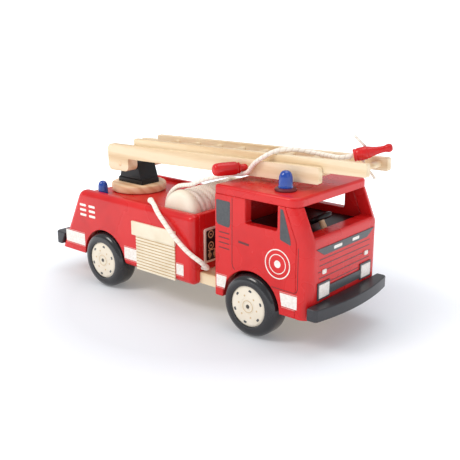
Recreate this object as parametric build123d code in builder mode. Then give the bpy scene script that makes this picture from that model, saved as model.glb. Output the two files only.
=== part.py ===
from build123d import *
from math import cos, sin, tan, radians, pi, acos
import os

os.makedirs("parts", exist_ok=True)

# body shell
HALF_W = 61.0            # outer half width of rear body and cab
WALL = 10.0              # side board thickness
INNER = HALF_W - WALL    # inner face of the side boards
BODY_Z = 30.5            # lower edge of the side boards
REAR_TOP = 105.0         # top of the rear body walls
REAR_LOW_X = -191.7      # rear body, lower rear corner
REAR_TOP_X = -154.2      # rear body, upper rear corner before rounding
REAR_FRONT_X = 26.0      # rear body, front face
END_T = 11.2             # rear end board, measured along X
DECK_T = 9.0
DECK_TOP = 101.1
DECK_FRONT_X = -33.0
FRONT_WALL_T = 7.6
CHASSIS_Z = (32.3, 44.3)
CHASSIS_X = (-173.5, 152.4)
SLOPE = (REAR_TOP_X - REAR_LOW_X) / (REAR_TOP - BODY_Z)

# wheels; the drawing's heights are from AXLE_Z, and RIDE lifts it so that the tyres stand on z = 0
WHEEL_R = 31.5
AXLE_Z = 30.0
RIDE = WHEEL_R - AXLE_Z
RIM_R = 20.4
TYRE_W = 25.0
WHEEL_Y = 65.0           # outer face of the tyres
HUB_W = TYRE_W - 1.6
AXLE_R = 2.0
REAR_AXLE_X = -112.4
FRONT_AXLE_X = 99.9
ARCH_R = 34.5

# cab
CAB_X = (55.0, 152.5)    # side boards
CAB_FRONT_X = 166.5
CAB_TOP = 134.6          # underside of the roof board
ROOF_T = 8.8
SILL_Z = 103.4
WINDOW_X = (93.3, 130.8)
WINDOW_Z = 110.5
LEAN = (166.5 - 153.1) / (CAB_TOP - SILL_Z)
SCREEN_Z = 107.5
SCREEN_Y = 50.0
SHELF_Z = (94.4, 103.4)

# turntable and ladders
TABLE_X = -118.0
TABLE_R = 31.7
TABLE_Z = (101.4, 110.2)
PIVOT_Z = 135.0
TILT = 2.0               # slope of the ladder as it stands, degrees
LOWER_OUT = 28.0
LOWER_IN = 22.0
LOWER_U = (-19.6, 270.4)
LOWER_V = (6.5, 22.0)
UPPER_OUT = 21.5
UPPER_IN = 15.5
UPPER_U = (18.0, 316.0)
UPPER_V = (16.5, 29.0)
RUNG_R = 3.0
EAR_IN = 14.0
PIN_R = 2.5

# hose reel
REEL_X, REEL_Z = -6.5, 100.0
REEL_R = 24.0
REEL_HALF = 49.0
CHEEK_T = 11.0
REEL_AXLE_R = 3.0
RUNNING = 0.06           # radial clearance of what turns on a dowel

# hoses: route points and radii
HOSE_R = 2.2
SIDE_HOSE_R = 2.5
TIE_R = 1.2
LEAD_ROUTE = [
    (-35.2, -36, 101.3), (-35.2, -36, 107.5), (-29, -36, 117.6), (-19, -36.3, 125.7),
    (-7.5, -37, 128.6), (5, -38.8, 131.0), (20, -39.6, 138.5),
    (37, -37, 143.3), (52, -33.6, 147.6), (64.3, -32.2, 149.5),
]
LADDER_ROUTE = [
    (64.7, -32.2, 149.7), (72, -32, 150.5), (77.5, -31.4, 159.7), (86, -30.6, 166.8),
    (99, -20.5, 176.2), (114, -8, 176.2), (132, -1, 173.4), (149, -5.5, 174.0),
    (163.2, -10.1, 174.35), (171.98, -4.22, 176.91),
]
SIDE_ROUTE = [
    (-41, -53.5, 108.9), (-30, -60.5, 109.3), (-20, -66, 103.8), (-8, -66.4, 92.8),
    (7, -66.4, 79.5), (23, -65.2, 67.8), (38, -60, 58.5), (35.5, -47.4, 48.6),
    (26.08, -47.4, 48.6),
]
TIE_ROUTE = [
    (172.5, -4, 195.2), (179, -1.5, 188.6), (178, 8.4, 184), (174.5, 8.2, 174.2),
    (180, 3.5, 166), (188, 1.5, 162.8), (194, -1.5, 158.4),
]
NOZZLE_FROM = (172.3, -4.0, 177.0)
NOZZLE_DIR = (0.807, 0.544, 0.236)
PEG_YAW = 26.0


def save(part, name):
    """Raise a finished piece to its ride height, label it and write it."""
    raised = part.moved(Location((0, 0, RIDE)))
    raised.label = name
    export_step(raised, f"parts/{name}.step")


def side_plane(y):
    """Plane facing -Y at the given y; local axes are X and Z."""
    return Plane.XZ.offset(-y)


def ladder_plane(y):
    """Plane facing -Y at the given y; local axes run along the ladder and up from it."""
    a = radians(TILT)
    return Plane(origin=(TABLE_X, y, PIVOT_Z), x_dir=(cos(a), 0, sin(a)), z_dir=(0, -1, 0))


def edges_at(part, axis, x=None, y=None, z=None, tol=0.3):
    """Edges parallel to an axis whose middle is at the given place; y is compared without sign."""
    found = []
    for e in part.edges().filter_by(axis):
        c = e.center()
        if x is not None and abs(c.X - x) > tol:
            continue
        if y is not None and abs(abs(c.Y) - y) > tol:
            continue
        if z is not None and abs(c.Z - z) > tol:
            continue
        found.append(e)
    return found


# ---------------------------------------------------------------- rear body and chassis

def chassis_board():
    with BuildPart() as board:
        with BuildSketch(Plane.XY.offset(CHASSIS_Z[0])):
            with Locations(((CHASSIS_X[0] + CHASSIS_X[1]) / 2, 0)):
                Rectangle(CHASSIS_X[1] - CHASSIS_X[0], 2 * INNER)
            for x in (REAR_AXLE_X, FRONT_AXLE_X):
                for s in (-1, 1):
                    with Locations((x, s * 50)):
                        Rectangle(70.0, 26, mode=Mode.SUBTRACT)
                with Locations((x, 0)):
                    Rectangle(20, 60, mode=Mode.SUBTRACT)
        extrude(amount=CHASSIS_Z[1] - CHASSIS_Z[0])
    save(board.part, "chassis_board")


def axle_blocks():
    with BuildPart() as blocks:
        for x in (REAR_AXLE_X, FRONT_AXLE_X):
            with Locations((x, 0, 32.65)):
                Box(20, 60, 23.3)
            with BuildSketch(Plane(origin=(x, 40, AXLE_Z), z_dir=(0, -1, 0))):
                Circle(AXLE_R + RUNNING)
            extrude(amount=80, mode=Mode.SUBTRACT)
        chamfer(blocks.edges().filter_by(Axis.Y).group_by(Axis.Z)[0], 2)
    save(blocks.part, "axle_blocks")


def rear_side(name, y):
    outer = -HALF_W if y < 0 else HALF_W
    with BuildPart() as side:
        with BuildSketch(side_plane(y)) as profile:
            with BuildLine():
                Polyline(
                    (REAR_LOW_X, BODY_Z), (REAR_FRONT_X, BODY_Z), (REAR_FRONT_X, REAR_TOP),
                    (REAR_TOP_X, REAR_TOP), (REAR_LOW_X, BODY_Z),
                )
            make_face()
            corners = profile.vertices().sort_by(Axis.X)
            fillet(corners[1], 12)
            fillet(profile.vertices().sort_by(Axis.X)[-2:], 6)
            with Locations((REAR_AXLE_X, AXLE_Z)):
                Circle(ARCH_R, mode=Mode.SUBTRACT)
        extrude(amount=WALL)
        fillet(edges_at(side, Axis.Z, x=REAR_FRONT_X, y=HALF_W), 7)
        with BuildSketch(side_plane(-INNER if y == -INNER else INNER)):
            with Locations((REEL_X, REEL_Z)):
                Circle(REEL_AXLE_R)
        extrude(amount=5 if outer < 0 else -5, mode=Mode.SUBTRACT)
    save(side.part, name)


def rear_end_panel():
    top_x = REAR_LOW_X + SLOPE * (DECK_TOP - BODY_Z)
    with BuildPart() as panel:
        with BuildSketch(side_plane(INNER)) as profile:
            with BuildLine():
                Polyline(
                    (REAR_LOW_X, BODY_Z), (REAR_LOW_X + END_T, BODY_Z), (top_x + END_T, DECK_TOP),
                    (top_x, DECK_TOP), (REAR_LOW_X, BODY_Z),
                )
            make_face()
            upper = profile.vertices().group_by(Axis.Y)[-1].sort_by(Axis.X)[0]
            fillet(upper, 12)
        extrude(amount=2 * INNER)
    save(panel.part, "rear_end_panel")


def rear_deck():
    rear = REAR_LOW_X + END_T + SLOPE * (DECK_TOP - BODY_Z)
    with BuildPart() as deck:
        with BuildSketch(Plane.XY.offset(DECK_TOP - DECK_T)):
            with Locations(((rear + DECK_FRONT_X) / 2, 0)):
                Rectangle(DECK_FRONT_X - rear, 2 * INNER)
            with Locations((TABLE_X, 0)):
                Circle(4.0, mode=Mode.SUBTRACT)
        extrude(amount=DECK_T)
    save(deck.part, "rear_deck")


def rear_front_wall():
    with BuildPart() as wall:
        with Locations((REAR_FRONT_X - FRONT_WALL_T / 2, 0, (CHASSIS_Z[1] + REAR_TOP) / 2)):
            Box(FRONT_WALL_T, 2 * INNER, REAR_TOP - CHASSIS_Z[1])
        fillet(edges_at(wall, Axis.Y, z=REAR_TOP), 1.5)
    save(wall.part, "rear_front_wall")


def pump_panel():
    with BuildPart() as panel:
        with Locations((REAR_FRONT_X + 0.75, 0, 70.5)):
            Box(1.5, 91, 37)
        fillet(panel.edges().filter_by(Axis.X), 2)
    save(panel.part, "pump_panel")


def shutter(name, s):
    with BuildPart() as door:
        with Locations((-30.85, s * (HALF_W + 1.1), 77.5)):
            Box(64.9, 2.2, 15.6)
        fillet(edges_at(door, Axis.X, y=HALF_W + 2.2), 1.0)
        with Locations((-28.65, s * (HALF_W + 0.6), 50.8)):
            Box(58.5, 1.2, 37.8)
        for i in range(11):
            with BuildSketch(Plane.YZ.offset(-58.5)):
                with Locations((s * (HALF_W + 1.2), 34.6 + i * 3.35)):
                    Rectangle(1.0, 0.9, rotation=45)
            extrude(amount=60, mode=Mode.SUBTRACT)
    save(door.part, name)


def rear_bumper():
    with BuildPart() as bumper:
        with BuildSketch(side_plane(62)):
            with BuildLine():
                Polyline(
                    (-201.5, 33.0), (REAR_LOW_X + SLOPE * 2.5, 33.0), (REAR_LOW_X + SLOPE * 17.5, 48.0),
                    (-201.5, 48.0), (-201.5, 33.0),
                )
            make_face()
        extrude(amount=124)
        fillet(edges_at(bumper, Axis.Z, x=-201.5), 6)
        fillet(bumper.edges().filter_by(Axis.Y).sort_by(Axis.X)[:2], 1.5)
    save(bumper.part, "rear_bumper")


# ---------------------------------------------------------------- cab

def cab_side(name, y):
    with BuildPart() as side:
        with BuildSketch(side_plane(y)) as profile:
            with BuildLine():
                Polyline(
                    (CAB_X[0], BODY_Z), (CAB_X[1], BODY_Z), (CAB_X[1], SILL_Z),
                    (CAB_X[1] - LEAN * (CAB_TOP - SILL_Z), CAB_TOP), (CAB_X[0], CAB_TOP), (CAB_X[0], BODY_Z),
                )
            make_face()
            with BuildLine():
                Polyline(
                    (WINDOW_X[0], CAB_TOP + 1), (WINDOW_X[0], WINDOW_Z), (WINDOW_X[1], WINDOW_Z),
                    (WINDOW_X[1], CAB_TOP + 1), (WINDOW_X[0], CAB_TOP + 1),
                )
            make_face(mode=Mode.SUBTRACT)
            low = [v for v in profile.vertices() if abs(v.Y - WINDOW_Z) < 0.1]
            fillet(low, 2.5)
            with Locations((FRONT_AXLE_X, AXLE_Z)):
                Circle(ARCH_R, mode=Mode.SUBTRACT)
        extrude(amount=WALL)
        fillet(edges_at(side, Axis.Z, x=CAB_X[0], y=HALF_W), 2)
    save(side.part, name)


def cab_front_panel():
    top_x = CAB_FRONT_X - LEAN * (CAB_TOP - SILL_Z)
    with BuildPart() as panel:
        with BuildSketch(side_plane(HALF_W)):
            with BuildLine():
                Polyline(
                    (CAB_X[1], BODY_Z), (CAB_FRONT_X, BODY_Z), (CAB_FRONT_X, SILL_Z), (top_x, CAB_TOP),
                    (top_x - 14, CAB_TOP), (CAB_X[1], SILL_Z), (CAB_X[1], BODY_Z),
                )
            make_face()
        extrude(amount=2 * HALF_W)
        front = [
            e for e in panel.edges()
            if abs(abs(e.center().Y) - HALF_W) < 0.1 and e.length > 20
            and e.center().X > CAB_X[1] + 4 and abs(e.center().Z - BODY_Z) > 1
        ]
        fillet(front, 11)
        with Locations((CAB_FRONT_X - 12, 0, (SCREEN_Z + CAB_TOP + 2) / 2)):
            Box(50, 2 * SCREEN_Y, CAB_TOP + 2 - SCREEN_Z, mode=Mode.SUBTRACT)
    save(panel.part, "cab_front_panel")


def cab_roof():
    with BuildPart() as roof:
        with BuildSketch(Plane.XY.offset(CAB_TOP)):
            with Locations(((CAB_X[0] + 152.5) / 2, 0)):
                Rectangle(152.5 - CAB_X[0], 2 * HALF_W)
        extrude(amount=ROOF_T)
        fillet(edges_at(roof, Axis.Z, x=152.5), 11)
        fillet(edges_at(roof, Axis.Z, x=CAB_X[0]), 3)
        fillet(roof.faces().sort_by(Axis.Z)[-1].edges(), 3)
    save(roof.part, "cab_roof")


def cab_back_wall():
    with BuildPart() as wall:
        with Locations((CAB_X[0] + 4, 0, (CHASSIS_Z[1] + CAB_TOP) / 2)):
            Box(8, 2 * INNER, CAB_TOP - CHASSIS_Z[1])
    save(wall.part, "cab_back_wall")


def dash_shelf():
    with BuildPart() as shelf:
        with Locations(((73 + CAB_X[1]) / 2, 0, sum(SHELF_Z) / 2)):
            Box(CAB_X[1] - 73, 2 * INNER, SHELF_Z[1] - SHELF_Z[0])
        fillet(edges_at(shelf, Axis.Y, x=73), 2)
    save(shelf.part, "dash_shelf")


STEER_AXIS = Plane(origin=(147.5, -7, 102.4), x_dir=(0, 1, 0), z_dir=(-0.5, 0, cos(radians(30))))


def steering_column():
    with BuildPart() as column:
        with BuildSketch(STEER_AXIS.offset(-4)):
            Circle(3)
        extrude(amount=14.5)
        with BuildSketch(STEER_AXIS.offset(10.5)):
            Circle(1.5)
        extrude(amount=4.5)
        with Locations((147, -7, SHELF_Z[1] - 10)):
            Box(30, 30, 20, mode=Mode.SUBTRACT)
    save(column.part, "steering_column")


def steering_wheel():
    with BuildPart() as wheel:
        with BuildSketch(STEER_AXIS.offset(10.8)):
            Circle(4.2)
        extrude(amount=3.6)
        with Locations(STEER_AXIS.offset(12.8)):
            Torus(9.4, 2.7)
            for a in (90, 210, 330):
                with Locations(Location((0, 0, 0), (0, 0, a))):
                    with Locations((5.4, 0, 0)):
                        Box(6, 3.4, 2.6)
        with BuildSketch(STEER_AXIS.offset(9)):
            Circle(1.5 + RUNNING)
        extrude(amount=8, mode=Mode.SUBTRACT)
    save(wheel.part, "steering_wheel")


def front_band():
    with BuildPart() as band:
        with BuildSketch(Plane.YZ.offset(CAB_FRONT_X)):
            with BuildLine():
                Polyline((-37, 89.9), (37, 89.9), (49.5, 97.2), (-49.5, 97.2), (-37, 89.9))
            make_face()
        extrude(amount=0.8)
    save(band.part, "front_band")


def headlights():
    with BuildPart() as frames:
        for s in (-1, 1):
            with Locations((CAB_FRONT_X + 0.6, s * 36.5, 56)):
                Box(1.2, 20, 16.6)
                Box(1.2, 16.4, 13, mode=Mode.SUBTRACT)
    save(frames.part, "headlight_frames")
    with BuildPart() as lenses:
        for s in (-1, 1):
            with Locations((CAB_FRONT_X + 0.9, s * 36.5, 56)):
                Box(1.8, 16.4, 13)
        fillet(lenses.faces().sort_by(Axis.X)[-2:].edges(), 0.6)
    save(lenses.part, "headlight_lenses")


def light_bar():
    with BuildPart() as bar:
        with Locations((CAB_FRONT_X + 0.6, 0, 54.4)):
            Box(1.2, 52.8, 8.4)
    save(bar.part, "light_bar")


def indicators():
    with BuildPart() as lamps:
        for s in (-1, 1):
            with Locations((CAB_FRONT_X + 0.7, s * 36.5, 74)):
                Box(1.4, 6, 4.2)
        fillet(lamps.edges().filter_by(Axis.X), 1.0)
    save(lamps.part, "indicators")


def front_bumper():
    with BuildPart() as bumper:
        with BuildSketch(Plane.XY.offset(33.5)) as plan:
            with BuildLine():
                Polyline((177, 62.5), (CAB_FRONT_X, 62.5), (CAB_FRONT_X, -62.5), (177, -62.5))
                ThreePointArc((177, -62.5), (184.5, 0), (177, 62.5))
            make_face()
            fillet(plan.vertices().group_by(Axis.X)[-1], 4)
        extrude(amount=12)
        fillet(bumper.faces().sort_by(Axis.Z)[-1].edges().sort_by(Axis.X)[-1], 1.2)
    save(bumper.part, "front_bumper")


def beacon_dome(name, x, y, z, radius, height):
    """Upright lamp dome on the plane z: a slightly drawn-in skirt under a round top."""
    top = radius * 0.94
    skirt = height - top
    with BuildPart() as lamp:
        with Locations((x, y, z + skirt / 2)):
            Cone(radius, top, skirt)
        with Locations((x, y, z + skirt)):
            Sphere(top)
    save(lamp.part, name)


def beacons():
    roof = CAB_TOP + ROOF_T
    with BuildPart() as base:
        with BuildSketch(Plane.XY.offset(roof)):
            with Locations((123.4, -39)):
                Circle(10.3)
        extrude(amount=3)
        fillet(base.edges().filter_by(GeomType.CIRCLE).group_by(Axis.Z)[-1], 1.4)
    save(base.part, "front_beacon_base")
    beacon_dome("front_beacon_dome", 123.4, -39, roof + 3, 6.8, 16)
    beacon_dome("rear_beacon_dome", -131, -43.5, DECK_TOP, 5.8, 15)


# ---------------------------------------------------------------- wheels

def wheel_set(name, x):
    with BuildPart() as tyres:
        for s in (-1, 1):
            y = -WHEEL_Y if s < 0 else WHEEL_Y - TYRE_W
            with BuildSketch(side_plane(y + TYRE_W)):
                with Locations((x, AXLE_Z)):
                    Circle(WHEEL_R)
                    Circle(RIM_R, mode=Mode.SUBTRACT)
            extrude(amount=TYRE_W)
        rims = [e for e in tyres.edges().filter_by(GeomType.CIRCLE) if e.radius > 25]
        fillet([e for e in rims if abs(abs(e.center().Y) - WHEEL_Y) < 0.1], 5)
        fillet([e for e in tyres.edges().filter_by(GeomType.CIRCLE)
                if e.radius > 28 and abs(e.center().Y) < WHEEL_Y - TYRE_W + 0.1], 3)
    save(tyres.part, f"{name}_tyres")
    with BuildPart() as hubs:
        for s in (-1, 1):
            near = -WHEEL_Y + 0.6 if s < 0 else WHEEL_Y - TYRE_W + 1
            with BuildSketch(side_plane(near + HUB_W)):
                with Locations((x, AXLE_Z)):
                    Circle(RIM_R)
                    Circle(AXLE_R, mode=Mode.SUBTRACT)
            extrude(amount=HUB_W)
        outer = [e for e in hubs.edges().filter_by(GeomType.CIRCLE)
                 if abs(e.center().Y) > WHEEL_Y - 2 and e.radius > 10]
        chamfer(outer, 0.8)
    save(hubs.part, f"{name}_hubs")
    with BuildPart() as axle:
        with BuildSketch(side_plane(WHEEL_Y - 0.2)):
            with Locations((x, AXLE_Z)):
                Circle(AXLE_R)
        extrude(amount=2 * (WHEEL_Y - 0.2))
        fillet(axle.edges().filter_by(GeomType.CIRCLE), 0.6)
    save(axle.part, f"{name}_axle")


# ---------------------------------------------------------------- turntable and ladders

def turntable():
    with BuildPart() as pin:
        with BuildSketch(Plane.XY.offset(DECK_TOP - DECK_T)):
            with Locations((TABLE_X, 0)):
                Circle(4.0)
        extrude(amount=17.6)
    save(pin.part, "turntable_pin")
    with BuildPart() as disc:
        with BuildSketch(Plane.XY.offset(TABLE_Z[0])):
            with Locations((TABLE_X, 0)):
                Circle(TABLE_R)
                Circle(4.0 + RUNNING, mode=Mode.SUBTRACT)
        extrude(amount=TABLE_Z[1] - TABLE_Z[0])
        fillet([e for e in disc.edges().filter_by(GeomType.CIRCLE) if e.radius > 20], 1.8)
    save(disc.part, "turntable_disc")


def pedestal():
    z = TABLE_Z[1]
    with BuildPart() as post:
        with Locations((TABLE_X, 0, z + 3)):
            Box(41, 27.2, 6)
        fillet(post.edges().filter_by(Axis.Z), 1.5)
        chamfer(post.faces().sort_by(Axis.Z)[-1].edges(), 1.2)
        with BuildSketch(side_plane(13.4)) as profile:
            with BuildLine():
                Polyline(
                    (TABLE_X - 12.4, PIVOT_Z), (TABLE_X - 17, z + 6), (TABLE_X + 18.5, z + 6),
                    (TABLE_X + 12.4, PIVOT_Z),
                )
                ThreePointArc((TABLE_X + 12.4, PIVOT_Z), (TABLE_X, PIVOT_Z + 12.4),
                              (TABLE_X - 12.4, PIVOT_Z))
            make_face()
        extrude(amount=26.8)
        with BuildSketch(side_plane(20)):
            with Locations((TABLE_X, PIVOT_Z)):
                Circle(PIN_R)
        extrude(amount=40, mode=Mode.SUBTRACT)
    save(post.part, "pedestal")
    with BuildPart() as pin:
        with BuildSketch(side_plane(LOWER_OUT + 0.4)):
            with Locations((TABLE_X, PIVOT_Z)):
                Circle(PIN_R)
        extrude(amount=2 * LOWER_OUT + 0.8)
        fillet(pin.edges().filter_by(GeomType.CIRCLE), 0.6)
    save(pin.part, "pivot_pin")


def lower_rail(name, s):
    outer, inner = s * LOWER_OUT, s * LOWER_IN
    start = max(outer, inner)
    ear_start = max(outer, s * EAR_IN)
    with BuildPart() as rail:
        with BuildSketch(ladder_plane(start)) as bar:
            with BuildLine():
                Polyline(
                    (LOWER_U[0], -8), (13.8, -8), (13.8, LOWER_V[0]), (LOWER_U[1], LOWER_V[0]),
                    (LOWER_U[1], LOWER_V[1]), (LOWER_U[0], LOWER_V[1]), (LOWER_U[0], -8),
                )
            make_face()
            v = bar.vertices()
            fillet([p for p in v if p.X < -19 and p.Y > 0], 7)
            fillet([p for p in bar.vertices() if p.Y < -7.9], 6)
            fillet([p for p in bar.vertices() if p.X > 270], 2)
        extrude(amount=LOWER_OUT - LOWER_IN)
        with BuildSketch(ladder_plane(ear_start)) as ear:
            with BuildLine():
                Polyline((LOWER_U[0], -8), (13.8, -8), (13.8, 15.4), (LOWER_U[0], 15.4), (LOWER_U[0], -8))
            make_face()
            fillet([p for p in ear.vertices() if p.Y < -7.9], 6)
        extrude(amount=LOWER_OUT - EAR_IN)
        with BuildSketch(ladder_plane(ear_start + 1)):
            Circle(PIN_R + RUNNING)
        extrude(amount=LOWER_OUT - EAR_IN + 2, mode=Mode.SUBTRACT)
    save(rail.part, name)


def rungs(name, half, v, first, pitch, count):
    with BuildPart() as bars:
        with BuildSketch(ladder_plane(half)):
            with Locations([(first + i * pitch, v) for i in range(count)]):
                Circle(RUNG_R)
        extrude(amount=2 * half)
    save(bars.part, name)


def upper_rail(name, s):
    start = max(s * UPPER_OUT, s * UPPER_IN)
    with BuildPart() as rail:
        with BuildSketch(ladder_plane(start)) as bar:
            with BuildLine():
                Polyline(
                    (UPPER_U[0], UPPER_V[0]), (UPPER_U[1], UPPER_V[0]), (UPPER_U[1], UPPER_V[1]),
                    (UPPER_U[0], UPPER_V[1]), (UPPER_U[0], UPPER_V[0]),
                )
            make_face()
            fillet(bar.vertices(), 2)
        extrude(amount=UPPER_OUT - UPPER_IN)
    save(rail.part, name)


def turned(axis_plane, profile):
    """Solid of revolution about the plane's local Z from (radius, height) points."""
    with BuildPart() as solid:
        with BuildSketch(Plane(origin=axis_plane.origin, x_dir=axis_plane.x_dir,
                               z_dir=-axis_plane.y_dir)):
            with BuildLine():
                Polyline((0, profile[0][1]), *profile, (0, profile[-1][1]), (0, profile[0][1]))
            make_face()
        revolve(axis=Axis(axis_plane.origin, axis_plane.z_dir))
    return solid.part


def hose_peg():
    a, u, v = radians(TILT), 184.6, 14.2
    x = TABLE_X + u * cos(a) - v * sin(a)
    z = PIVOT_Z + u * sin(a) + v * cos(a)
    out = (-sin(radians(PEG_YAW)), -cos(radians(PEG_YAW)), 0)
    axis = Plane(origin=(x, -LOWER_OUT, z), x_dir=(0, 0, 1), z_dir=out)
    profile = [
        (3.4, -3), (3.4, 7.6), (5.2, 8.0), (6.4, 9.2), (6.5, 20), (6.1, 29), (5.4, 32), (3.8, 33.6),
        (1.8, 34.2),
    ]
    with BuildPart() as peg:
        add(turned(axis, profile))
        with Locations((x, -LOWER_OUT + 10, z)):
            Box(40, 20, 30, mode=Mode.SUBTRACT)
    save(peg.part, "hose_peg")


def nozzle():
    axis = Plane(origin=NOZZLE_FROM, z_dir=NOZZLE_DIR)
    profile = [
        (5.3, 0), (5.9, 0.6), (6.0, 13.5), (5.2, 15.5), (3.4, 22), (2.9, 27), (3.1, 29.3), (3.7, 30.6),
        (3.9, 32.2), (3.6, 34), (2.4, 35.3),
    ]
    save(turned(axis, profile), "nozzle")


# ---------------------------------------------------------------- hose reel and hoses

def hose_reel():
    with BuildPart() as axle:
        with BuildSketch(side_plane(56)):
            with Locations((REEL_X, REEL_Z)):
                Circle(REEL_AXLE_R)
        extrude(amount=112)
    save(axle.part, "reel_axle")
    with BuildPart() as drum:
        for y, t, r in ((REEL_HALF, CHEEK_T, REEL_R), (-REEL_HALF + CHEEK_T, CHEEK_T, REEL_R),
                        (REEL_HALF - CHEEK_T, 2 * (REEL_HALF - CHEEK_T), 14)):
            with BuildSketch(side_plane(y)):
                with Locations((REEL_X, REEL_Z)):
                    Circle(r)
            extrude(amount=t)
        big = [e for e in drum.edges().filter_by(GeomType.CIRCLE) if e.radius > 20]
        fillet([e for e in big if abs(abs(e.center().Y) - REEL_HALF) < 0.1], 6)
        with BuildSketch(side_plane(REEL_HALF + 1)):
            with Locations((REEL_X, REEL_Z)):
                Circle(REEL_AXLE_R + RUNNING)
        extrude(amount=2 * REEL_HALF + 2, mode=Mode.SUBTRACT)
    save(drum.part, "reel_drum")
    half = REEL_HALF - CHEEK_T
    count = 9
    pitch = 2 * half / count
    with BuildPart() as coil:
        with BuildSketch(Plane(origin=(REEL_X, 0, REEL_Z), x_dir=(0, 1, 0), z_dir=(1, 0, 0))) as ring:
            with Locations((0, 17.2)):
                Rectangle(2 * half, 6.4)
            with Locations([(-half + (i + 0.5) * pitch, 19.5) for i in range(count)]):
                Circle(pitch / 2)
        revolve(axis=Axis((REEL_X, 0, REEL_Z), (0, 1, 0)))
    save(coil.part, "hose_winding")


def turn_radii(points):
    """Bend radius at each inner point: 0.45 of the shorter run over the half turn's tangent."""
    radii = []
    for a, b, c in zip(points, points[1:], points[2:]):
        p, q = Vector(b) - Vector(a), Vector(c) - Vector(b)
        turn = acos(max(-1.0, min(1.0, p.normalized().dot(q.normalized()))))
        radii.append(0.45 * min(p.length, q.length) / tan(turn / 2))
    return radii


def hose(name, points, radius):
    radii = turn_radii(points)
    with BuildPart() as tube:
        with BuildLine() as path:
            FilletPolyline(*points, radius=radii)
        line = path.wire()
        with BuildSketch(Plane(origin=line @ 0, z_dir=line % 0)):
            Circle(radius)
        sweep()
    print(name, "length", round(line.length, 1), "radii", [round(r, 1) for r in radii],
          "volume ratio", round(tube.part.volume / (pi * radius ** 2 * line.length), 3))
    save(tube.part, name)


def side_hose_end():
    x, y, z = SIDE_ROUTE[0]
    back = Vector(*SIDE_ROUTE[0]) - Vector(*SIDE_ROUTE[1])
    axis = Plane(origin=(x, y, z), z_dir=back.normalized())
    save(turned(axis, [(2.6, 0), (3.1, 0.8), (3.3, 3), (3.0, 5.6), (1.8, 7.0)]), "side_hose_end")


def main():
    chassis_board()
    axle_blocks()
    rear_side("rear_side_right", -INNER)
    rear_side("rear_side_left", HALF_W)
    rear_end_panel()
    rear_deck()
    rear_front_wall()
    pump_panel()
    shutter("shutter_right", -1)
    shutter("shutter_left", 1)
    rear_bumper()
    cab_side("cab_side_right", -INNER)
    cab_side("cab_side_left", HALF_W)
    cab_front_panel()
    cab_roof()
    cab_back_wall()
    dash_shelf()
    steering_column()
    steering_wheel()
    front_band()
    headlights()
    light_bar()
    indicators()
    front_bumper()
    beacons()
    wheel_set("front", FRONT_AXLE_X)
    wheel_set("rear", REAR_AXLE_X)
    turntable()
    pedestal()
    lower_rail("lower_rail_right", -1)
    lower_rail("lower_rail_left", 1)
    rungs("lower_rungs", LOWER_IN, 12.8, 36, 32, 8)
    upper_rail("upper_rail_right", -1)
    upper_rail("upper_rail_left", 1)
    rungs("upper_rungs", UPPER_IN, 22.75, 51.5, 31.9, 9)
    hose_peg()
    nozzle()
    hose_reel()
    hose("hose_lead", LEAD_ROUTE, HOSE_R)
    hose("ladder_hose", LADDER_ROUTE, HOSE_R)
    hose("side_hose", SIDE_ROUTE, SIDE_HOSE_R)
    hose("tie_cord", TIE_ROUTE, TIE_R)
    side_hose_end()


main()
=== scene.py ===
import logging
from dataclasses import dataclass, field
from enum import Enum
from math import cos, pi, radians, sin
from typing import Iterable, Sequence

import bmesh
import bpy
from mathutils import Matrix, Vector


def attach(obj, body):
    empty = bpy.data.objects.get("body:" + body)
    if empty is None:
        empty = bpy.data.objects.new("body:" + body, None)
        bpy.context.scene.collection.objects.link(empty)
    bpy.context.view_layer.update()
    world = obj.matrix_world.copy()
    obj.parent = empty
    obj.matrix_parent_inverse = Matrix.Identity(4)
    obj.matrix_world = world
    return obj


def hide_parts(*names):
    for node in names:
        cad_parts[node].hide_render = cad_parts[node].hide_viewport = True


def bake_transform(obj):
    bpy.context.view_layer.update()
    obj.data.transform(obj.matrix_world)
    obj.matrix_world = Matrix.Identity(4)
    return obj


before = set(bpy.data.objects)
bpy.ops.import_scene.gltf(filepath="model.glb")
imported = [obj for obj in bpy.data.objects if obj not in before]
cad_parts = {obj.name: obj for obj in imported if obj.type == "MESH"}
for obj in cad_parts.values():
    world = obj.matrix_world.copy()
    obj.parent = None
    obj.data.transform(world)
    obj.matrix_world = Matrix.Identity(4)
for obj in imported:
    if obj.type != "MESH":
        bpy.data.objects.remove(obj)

MM = 0.001
RIDE = 1.5  # mm by which the drawing's heights are raised, so that the tyres stand on the floor
LOG = logging.getLogger("fire_engine")
Point2 = tuple[float, float]
Point3 = tuple[float, float, float]
Colour = tuple[float, float, float, float]


class Side(Enum):
    """Which flank of the vehicle a piece is on."""

    RIGHT = -1
    LEFT = 1


class Lay(Enum):
    """What a cord's surface pattern follows."""

    ALONG_CORD = "UV"
    ROUND_REEL = "Object"


def spot(point: Iterable[float]) -> Vector:
    """Turn a drawing point in mm to the row frame in metres."""
    x, y, z = point
    return Vector((x, y, z + RIDE)) * MM


def srgb(code: str) -> Colour:
    """Turn an sRGB hex colour to linear.

    Args:
        code: Six hex digits, such as "C8202A".

    Returns:
        Linear red, green, blue and an alpha of one.
    """
    parts = [int(code[i:i + 2], 16) / 255 for i in (0, 2, 4)]
    r, g, b = [c / 12.92 if c <= 0.04045 else ((c + 0.055) / 1.055) ** 2.4 for c in parts]
    return r, g, b, 1.0


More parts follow.
